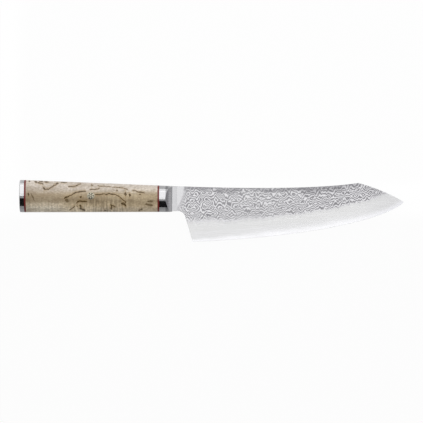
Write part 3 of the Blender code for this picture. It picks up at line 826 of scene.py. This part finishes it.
def fleck_row(along, across, *flecks):
    """How far off a row of flecks is, as a multiple of their thickness. None is beside another. Each is its
    thickness and then the places that it runs through, in millimetres from the pin."""
    path, thickness = [(0, 0.5)], [(0, 0)]
    for widest, *places in flecks:
        path += [(0.5 + place[0] / 2 / FLECK_REACH, 0.5 + place[1] / 2 / FLECK_REACH) for place in places]
        start, end = places[0][0], places[-1][0]
        taper = min(FLECK_TAPER, (end - start) / 3)
        for place, share in ((start, 0), (start + taper, 1), (end - taper, 1), (end, 0)):
            thickness.append((0.5 + place / 2 / FLECK_REACH, share * widest / THICKEST_FLECK))
    place = maths(tree, "MULTIPLY_ADD", along, 0.5 / FLECK_REACH, 0.5)
    level = curve_through(tree, place, path + [(1, 0.5)])
    level = maths(tree, "MULTIPLY_ADD", level, 2 * FLECK_REACH, -FLECK_REACH)
    thick = curve_through(tree, place, thickness + [(1, 0)])
    thick = maths(tree, "MULTIPLY_ADD", thick, THICKEST_FLECK, THINNEST_FLECK)
    distance = maths(tree, "ABSOLUTE", maths(tree, "SUBTRACT", across, level))
    return maths(tree, "DIVIDE", distance, thick)


def least_of(*rows):
    """The nearest of the rows, at each point."""
    least = rows[0]
    for other in rows[1:]:
        least = maths(tree, "MINIMUM", least, other)
    return least


lengthwise, upwards, _ = separate(tree, shaken)
to_fleck = least_of(
    fleck_row(lengthwise, upwards,
              (1.3, (-53.8, 1.6), (-51.9, 1.1)),
              (0.45, (-41.5, 8), (-39.7, 6.4), (-38.1, 5.4), (-36.1, 5.7), (-33.5, 7.3), (-28, 10.6)),
              (0.5, (-23, -2.1), (-19, -0.5), (-16.5, 0.5), (-14.5, 2), (-10.9, 3.2), (-8.3, 3.8),
               (-3.7, 3.9)),
              (0.45, (3.3, 1.1), (9.4, 1.2), (11.1, 1.7), (13, 1.2), (15.7, 2.1), (18, 1.3), (20.9, 1.2),
               (23.1, 0.2), (25.7, -1.8), (27.6, -3.7), (30.3, -5.7)),
              (0.45, (34.9, 4.7), (37.9, 4.5), (40.2, 3.4), (43.1, 3), (46.5, 2.6))),
    fleck_row(lengthwise, upwards,
              (0.8, (-48, 12.3), (-45.6, 11.4)), (0.4, (-45.5, 11.2), (-41.8, 10.4), (-40, 9.6)),
              (0.5, (-39.9, 12), (-37.7, 12), (-35.6, 11.5)), (0.5, (-29.8, 10.7), (-27.2, 10.7)),
              (0.45, (-26, 11.7), (-20, 11.3)),
              (0.4, (-19.5, 7.9), (-13.6, 8.2), (-10.6, 9.5), (-8.1, 10.7)),
              (0.25, (5.3, 8.5), (11.4, 8.2), (19.3, 7.4), (25.3, 7.2), (29, 6.2), (31.1, 5.3), (32, 3.9)),
              (1.2, (32.2, 1.1), (34.4, 0.3)),
              (0.4, (41, 1.2), (42.8, 1.5))),
    fleck_row(lengthwise, upwards,
              (0.6, (-53.2, 12.6), (-51.8, 12.4)), (0.55, (-44.6, 12.6), (-40.6, 12)),
              (0.45, (-18.4, -12.5), (-15.2, -9.9), (-13.1, -8.2)),
              (0.55, (-12.6, -6.6), (-11.3, -4.9), (-9.3, -4.4), (-7, -4.7), (-3.1, -4.6)),
              (0.4, (-1.4, 5.4), (4.8, 5.6), (7.9, 6.6)),
              (0.45, (17.6, -7.7), (21.2, -9.4)), (0.6, (21.4, 4.5), (23.2, 4.1)),
              (0.8, (25.8, -6.5), (28.3, -6.8), (30.6, -8.9)),
              (0.55, (40.3, -12.8), (43.1, -11.2), (44.2, -11.5))),
    fleck_row(lengthwise, upwards,
              (0.9, (-40.4, 6.9), (-38.4, 5.5)), (0.6, (-12.4, -8.4), (-11.2, -9)),
              (0.6, (-8.9, -10.6), (-7.6, -11.4), (-4.5, -12.6)),
              (0.5, (-0.4, 9), (2, 9.2)), (0.5, (11, -12.4), (13, -12.6)),
              (1.5, (28.3, 1.7), (30.6, 1.5))),
    fleck_row(upwards, lengthwise, (0.75, (-11.5, -8.8), (-7, -9)), (0.75, (-2.1, -8.6), (0.4, -8.3))),
    fleck_row(upwards, lengthwise, (0.55, (-12, 17.6), (-6.6, 17.3))),
)
to_bruise = least_of(
    fleck_row(lengthwise, upwards,
              (1.4, (-51, 2.2), (-49, -1), (-47.5, -4.2)),
              (1.8, (-22, -3.6), (-18.5, -4.4)),
              (1.1, (46.2, -7), (49.8, -7.6), (53, -8.2))),
    fleck_row(lengthwise, upwards, (0.9, (47.8, -4.7), (53, -4.6))),
)

veins = noise(tree, placed(tree, point, (0.10, 0.2, 0.2)), 1.0, 2)
veins = maths(tree, "ABSOLUTE", maths(tree, "SUBTRACT", veins, 0.5))
veined = noise(tree, placed(tree, point, (0.07, 0.1, 0.1), (9, 4, 2)), 1.0, 2)
veins = maths(tree, "MULTIPLY", ramp(tree, veins, 0.004, 0.016, 1.0, 0.0), ramp(tree, veined, 0.5, 0.6))
uneven = ramp(tree, noise(tree, point, 0.9, 2), 0.3, 0.6, 0.65, 1.0)
dark = blend(tree, right_side, veins, ramp(tree, to_fleck, 0.65, 1.65, 1.0, 0.0))
dark = maths(tree, "MULTIPLY", dark, uneven)
halo = maths(tree, "MULTIPLY", ramp(tree, to_fleck, 1.0, 4.5, 1.0, 0.0), right_side)
bruised = maths(tree, "MULTIPLY", ramp(tree, to_bruise, 0.3, 1.3, 1.0, 0.0), uneven)
bruised = maths(tree, "MULTIPLY", bruised, right_side)

MIDDLE_BY_BUTT = (0.465, 0.38, 0.265, 1)
MIDDLE_BY_PIN = (0.47, 0.375, 0.245, 1)
MIDDLE_BY_BOLSTER = (0.53, 0.43, 0.285, 1)
LOWER_PAINTED_LIGHT_BY_BUTT = (0.87, 0.765, 0.60, 1)
LOWER_PAINTED_LIGHT_BY_PIN = (0.73, 0.60, 0.41, 1)
RIM_PAINTED_LIGHT_BY_BUTT = (0.95, 0.87, 0.71, 1)
RIM_PAINTED_LIGHT_BY_PIN = (0.87, 0.74, 0.54, 1)
TOP_PAINTED_SHEEN_BY_PIN = (0.685, 0.62, 0.555, 1)
TOP_PAINTED_SHEEN_BY_BOLSTER = (0.77, 0.71, 0.65, 1)
MOTTLE_AND_SHADE_BROWN = (0.20, 0.145, 0.085, 1)
FIGURE_BROWN = (0.24, 0.17, 0.095, 1)
RIB_BROWN = (0.13, 0.095, 0.055, 1)
FIBRE_BROWN = (0.24, 0.19, 0.13, 1)
HALO_BROWN = (0.36, 0.245, 0.11, 1)
BRUISE_BROWN = (0.11, 0.075, 0.035, 1)
FLECK_BROWN = (0.045, 0.025, 0.007, 1)

figure = noise(tree, placed(tree, point, (0.05, 0.13, 0.13)), 1.0, 4, 0.6)
mottle = noise(tree, placed(tree, point, (0.5, 0.8, 0.8)), 1.0, 3, 0.6)
ribs = noise(tree, placed(tree, shaken, (0.62, 0.10, 0.10)), 1.0, 2)
fibres = noise(tree, placed(tree, point, (0.25, 3.2, 3.2)), 1.0, 3)
flamed = ramp(tree, maths(tree, "ABSOLUTE", maths(tree, "SUBTRACT", lengthwise, 11.0)), 14.0, 28.0, 1.0, 0.4)
towards_butt = ramp(tree, lengthwise, -14.0, -34.0)
towards_bolster = ramp(tree, lengthwise, -20.0, 35.0)
middle = blend(tree, towards_bolster, MIDDLE_BY_PIN, MIDDLE_BY_BOLSTER)
middle = blend(tree, towards_butt, middle, MIDDLE_BY_BUTT)
# Towards the bottom of the handle the wood turns lighter, in two steps down to its lower rim: painted light.
lower_painted_light = blend(tree, towards_butt, LOWER_PAINTED_LIGHT_BY_PIN, LOWER_PAINTED_LIGHT_BY_BUTT)
colour = blend(tree, ramp(tree, height, 8.5, 4.5), middle, lower_painted_light)
rim_painted_light = blend(tree, towards_butt, RIM_PAINTED_LIGHT_BY_PIN, RIM_PAINTED_LIGHT_BY_BUTT)
colour = blend(tree, ramp(tree, height, 4.8, 2.4), colour, rim_painted_light)
# Towards the top the wood turns paler and greyer: a painted sheen.
top_painted_sheen = blend(tree, towards_bolster, TOP_PAINTED_SHEEN_BY_PIN, TOP_PAINTED_SHEEN_BY_BOLSTER)
colour = blend(tree, ramp(tree, height, 13.0, 20.0), colour, top_painted_sheen)
# Towards the butt, on the upper part of the handle, the wood darkens: painted shade.
stain_and_shade = maths(tree, "MULTIPLY", ramp(tree, lengthwise, -44.0, -54.0), ramp(tree, height, 19.0, 15.0))
colour = blend(tree, maths(tree, "MULTIPLY", stain_and_shade, 0.3), colour, MOTTLE_AND_SHADE_BROWN)
colour = blend(tree, ramp(tree, figure, 0.3, 0.7, 0.45, 0.0), colour, FIGURE_BROWN)
colour = blend(tree, ramp(tree, mottle, 0.36, 0.62, 0.42, 0.0), colour, MOTTLE_AND_SHADE_BROWN)
rib_depth = maths(tree, "MULTIPLY", ramp(tree, ribs, 0.42, 0.62), ramp(tree, height, 18.0, 6.0, 0.10, 0.50))
colour = blend(tree, maths(tree, "MULTIPLY", rib_depth, flamed), colour, RIB_BROWN)
colour = blend(tree, ramp(tree, fibres, 0.35, 0.7, 0.0, 0.18), colour, FIBRE_BROWN)
colour = blend(tree, maths(tree, "MULTIPLY", halo, 0.5), colour, HALO_BROWN)
colour = blend(tree, maths(tree, "MULTIPLY", bruised, 0.9), colour, BRUISE_BROWN)
colour = blend(tree, maths(tree, "MULTIPLY", dark, 0.95), colour, FLECK_BROWN)
tree.links.new(colour, shader.inputs["Base Color"])
lacquer = ramp(tree, height, 10.0, 21.0, 0.25, 1.0)
lacquer = maths(tree, "ADD", lacquer, ramp(tree, height, 5.0, 2.0, 0.0, 0.75))
tree.links.new(lacquer, shader.inputs["Coat Weight"])
bump(tree, shader, fibres, 0.12, 0.00004)
grip_wood.data.materials.append(masur_birch)
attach(grip_wood, "root")
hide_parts("handle_wood")


# The end cap is a plate of polished steel, with a blind slot that the tang's tenon is brazed into. Its
# outer rim is rounded for the hand.
CAP_ROUND = 0.001
CAP_SEGMENTS = 8
TENON_WIDTH = 0.008

cap_low, cap_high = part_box("end_cap")
butt_cap = from_blank("butt_cap", cap_low.x, cap_high.x)
round_edges(butt_cap, rims_at(cap_low.x), CAP_ROUND, CAP_SEGMENTS)
round_edges(butt_cap, rims_at(cap_high.x), PLATE_EASE, EASE_SEGMENTS)
hollow(butt_cap, (tang_low.x - SEAT_GAP, tang_y - TENON_WIDTH / 2 - SEAT_GAP, tang_low.z - SEAT_GAP),
       (cap_high.x + OVERSHOOT, tang_y + TENON_WIDTH / 2 + SEAT_GAP, tang_high.z + SEAT_GAP))
tidy_shading(butt_cap)
butt_cap.data.materials.append(polished_steel)
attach(butt_cap, "root")
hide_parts("end_cap")


# The mosaic pin goes through wood, resin and tang: a nickel silver tube packed with seven rods in dark
# resin. Its ends are ground flush with the flank on the right and with the flat side on the left.
PIN_EASE = 0.00004
ROD_SIDES = 32
ROD_COUNT = 7
SHARP_BEND = math.radians(50)
SILVER_DARK = (0.47, 0.44, 0.34, 1)
SILVER_BRIGHT = (0.59, 0.555, 0.44, 1)
RESIN_DARK = (0.010, 0.009, 0.008, 1)
RESIN_LIGHT = (0.025, 0.02, 0.016, 1)

nickel_silver, tree, shader = new_material("nickel silver", Metallic=1.0)
point = millimetres(tree)
lines = polish_lines(tree, point, 8.0, 0.1)
colour = blend(tree, lines, SILVER_DARK, SILVER_BRIGHT)
tree.links.new(colour, shader.inputs["Base Color"])
tree.links.new(ramp(tree, lines, 0.3, 0.7, 0.38, 0.46), shader.inputs["Roughness"])
dark_resin, tree, shader = new_material("dark resin", Roughness=0.5, Specular_IOR_Level=0.1)
point = millimetres(tree)
colour = blend(tree, noise(tree, point, 3.0, 3), RESIN_DARK, RESIN_LIGHT)
tree.links.new(colour, shader.inputs["Base Color"])


def set_flush(piece, cad_node, finish):
    """Grinds both ends of a piece of the pin flush with the handle, and eases their rims."""
    machine(piece, blank, "INTERSECT")
    easing = piece.modifiers.new("easing", "BEVEL")
    easing.width = PIN_EASE
    easing.segments = EASE_SEGMENTS
    easing.limit_method = "ANGLE"
    easing.angle_limit = SHARP_BEND
    easing.use_clamp_overlap = False
    bpy.ops.object.modifier_apply(modifier="easing")
    tidy_shading(piece)
    piece.data.materials.append(finish)
    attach(piece, "root")
    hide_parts(cad_node)


resin_low, resin_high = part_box("pin_resin")
resin_radius = (resin_high.x - resin_low.x) / 2
pin_sleeve = round_stock("pin_sleeve", pin_middle, pin_radius, PIN_SIDES)
drill_out(pin_sleeve, pin_middle, resin_radius + PIN_GAP, PIN_SIDES, reach=2)
pin_filling = round_stock("pin_filling", pin_middle, resin_radius, PIN_SIDES)
for index in range(1, ROD_COUNT + 1):
    rod_low, rod_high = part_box(f"pin_rod_{index}")
    rod_middle = (rod_low + rod_high) / 2
    rod_middle.z = pin_middle.z
    rod_radius = (rod_high.x - rod_low.x) / 2
    drill_out(pin_filling, rod_middle, rod_radius + PIN_GAP, ROD_SIDES, reach=2)
    wire = round_stock(f"pin_wire_{index}", rod_middle, rod_radius, ROD_SIDES)
    set_flush(wire, f"pin_rod_{index}", nickel_silver)
set_flush(pin_sleeve, "pin_tube", nickel_silver)
set_flush(pin_filling, "pin_resin", dark_resin)
bpy.data.objects.remove(blank)


# The knife lies on a wide white table, on the flat left side of its handle. To the camera the table is
# plain white. In the steel it is dim, and beyond the edge and beyond the spine it carries painted shade.
TABLE_SIZE = 16
PAPER_DULL = (0.94, 0.94, 0.94, 1)
PAPER_WHITE = (0.96, 0.96, 0.96, 1)
PAPER_PAINTED_SHADE = (0.27, 0.27, 0.27, 1)
SHOWN_WHITE = 0.97
MIRRORED_WHITE = 0.3

bpy.ops.object.select_all(action="DESELECT")
bpy.ops.mesh.primitive_plane_add(size=TABLE_SIZE, location=(0, 0, cad_box[0].z))
table = bpy.context.object
table.name = "table"
paper, tree, shader = new_material("white paper", Roughness=0.9, Specular_IOR_Level=0.0)
point = millimetres(tree)
grain = noise(tree, point, 0.02, 2)
colour = blend(tree, grain, PAPER_DULL, PAPER_WHITE)
along, across, _ = separate(tree, point)
towards_edge = ramp(tree, across, 5.0, -12.0)
towards_spine = maths(tree, "MULTIPLY", ramp(tree, across, 20.0, 30.0), ramp(tree, along, -172.0, -156.0))
rays = node(tree, "LightPath").outputs
# Beyond the edge and the spine the paper turns grey for every ray but diffuse light: painted shade that the
# steel mirrors.
painted_shade_share = maths(tree, "MULTIPLY_ADD", towards_spine, 0.55, towards_edge)
painted_shade_share = maths(tree, "SUBTRACT", painted_shade_share, rays["Is Diffuse Ray"], clamp=True)
colour = blend(tree, painted_shade_share, colour, PAPER_PAINTED_SHADE)
tree.links.new(colour, shader.inputs["Base Color"])
mirrored = maths(tree, "ADD", rays["Is Glossy Ray"], rays["Is Transmission Ray"], clamp=True)
seen = maths(tree, "MULTIPLY", rays["Is Camera Ray"], SHOWN_WHITE)
share = maths(tree, "MULTIPLY_ADD", mirrored, MIRRORED_WHITE, seen)
white = node(tree, "Emission", {"Color": (1, 1, 1, 1), "Strength": 1.0}).outputs[0]
shown = node(tree, "MixShader", {0: share, 1: shader.outputs[0], 2: white}).outputs[0]
tree.links.new(shown, tree.nodes["Material Output"].inputs["Surface"])
table.data.materials.append(paper)

# Soft lamps hang over and round the knife, bright overhead, beyond the spine and at both ends. On the edge's
# side they are dim, with a gap half-way up, so that the lower flank of the polished steel shows dark. The
# corner lamps light the blade in low views.


def soft_lamp(name, place, towards, width, height, brightness):
    """A lamp with an even face, aimed at a point. Its brightness is what a mirror would show of it."""
    light = bpy.data.lights.new(name, "AREA")
    light.shape = "RECTANGLE"
    light.size, light.size_y = width, height
    light.energy = brightness * math.pi * width * height
    lamp = bpy.data.objects.new(name, light)
    bpy.context.scene.collection.objects.link(lamp)
    lamp.location = place
    lamp.rotation_euler = (Vector(towards) - Vector(place)).to_track_quat("-Z", "Y").to_euler()
    lamp.visible_camera = False


soft_lamp("overhead", (-0.2, 0.11, 1.3), (-0.2, 0.11, 0), 2.6, 0.62, 1.4)
soft_lamp("spine_above", (0.1, 0.98, 1.2), (0.1, 0.10, 0), 2.4, 1.1, 1.55)
soft_lamp("spine_side", (0, 2.0, 0.62), (0, 0, 0), 3.4, 1.2, 1.4)
soft_lamp("butt_side", (-1.9, 0.75, 1.1), (0, 0.1, 0), 2.0, 1.4, 1.4)
soft_lamp("tip_side", (1.78, -0.25, 1.22), (0, -0.1, 0), 2.2, 1.3, 1.5)
soft_lamp("tip_low", (2.0, -0.25, 0.33), (0, -0.1, 0), 2.2, 0.62, 0.6)
soft_lamp("edge_side", (0, -1.8, 0.52), (0, 0, 0), 3.0, 1.0, 0.38)
soft_lamp("edge_above", (0, -0.56, 1.2), (0, 0, 0), 3.0, 0.50, 0.45)
soft_lamp("edge_corner", (1.5, -1.5, 0.5), (0, 0, 0), 1.6, 0.8, 0.5)
soft_lamp("spine_corner", (1.6, 1.6, 0.75), (0, 0, 0), 1.4, 0.8, 0.5)

# The world is white to the camera and nearly dark to everything else, because the real polished steel
# mirrors a black band.
WORLD_GLOW = 0.004

world = bpy.data.worlds.new("studio")
bpy.context.scene.world = world
world.use_nodes = True
tree = world.node_tree
rays = node(tree, "LightPath").outputs
mirrored = maths(tree, "ADD", rays["Is Glossy Ray"], rays["Is Transmission Ray"], clamp=True)
brightness = maths(tree, "MULTIPLY_ADD", mirrored, WORLD_GLOW, WORLD_GLOW)
brightness = maths(tree, "MULTIPLY_ADD", rays["Is Camera Ray"], SHOWN_WHITE, brightness)
tree.nodes["Background"].inputs["Color"].default_value = (1, 1, 1, 1)
tree.links.new(brightness, tree.nodes["Background"].inputs["Strength"])

# The camera hangs straight over the knife.
CAMERA_HEIGHT = 2.6
VIEW_WIDTH = 0.3608
VIEW_CENTRE = (-0.00017, -0.0006)
SENSOR_WIDTH = 36

camera = bpy.data.objects.new("camera", bpy.data.cameras.new("camera"))
bpy.context.scene.collection.objects.link(camera)
camera.data.sensor_width = SENSOR_WIDTH
camera.data.lens = SENSOR_WIDTH * CAMERA_HEIGHT / VIEW_WIDTH
camera.location = (*VIEW_CENTRE, z_blade + CAMERA_HEIGHT)
bpy.context.scene.camera = camera
bpy.context.scene.view_settings.view_transform = "Standard"
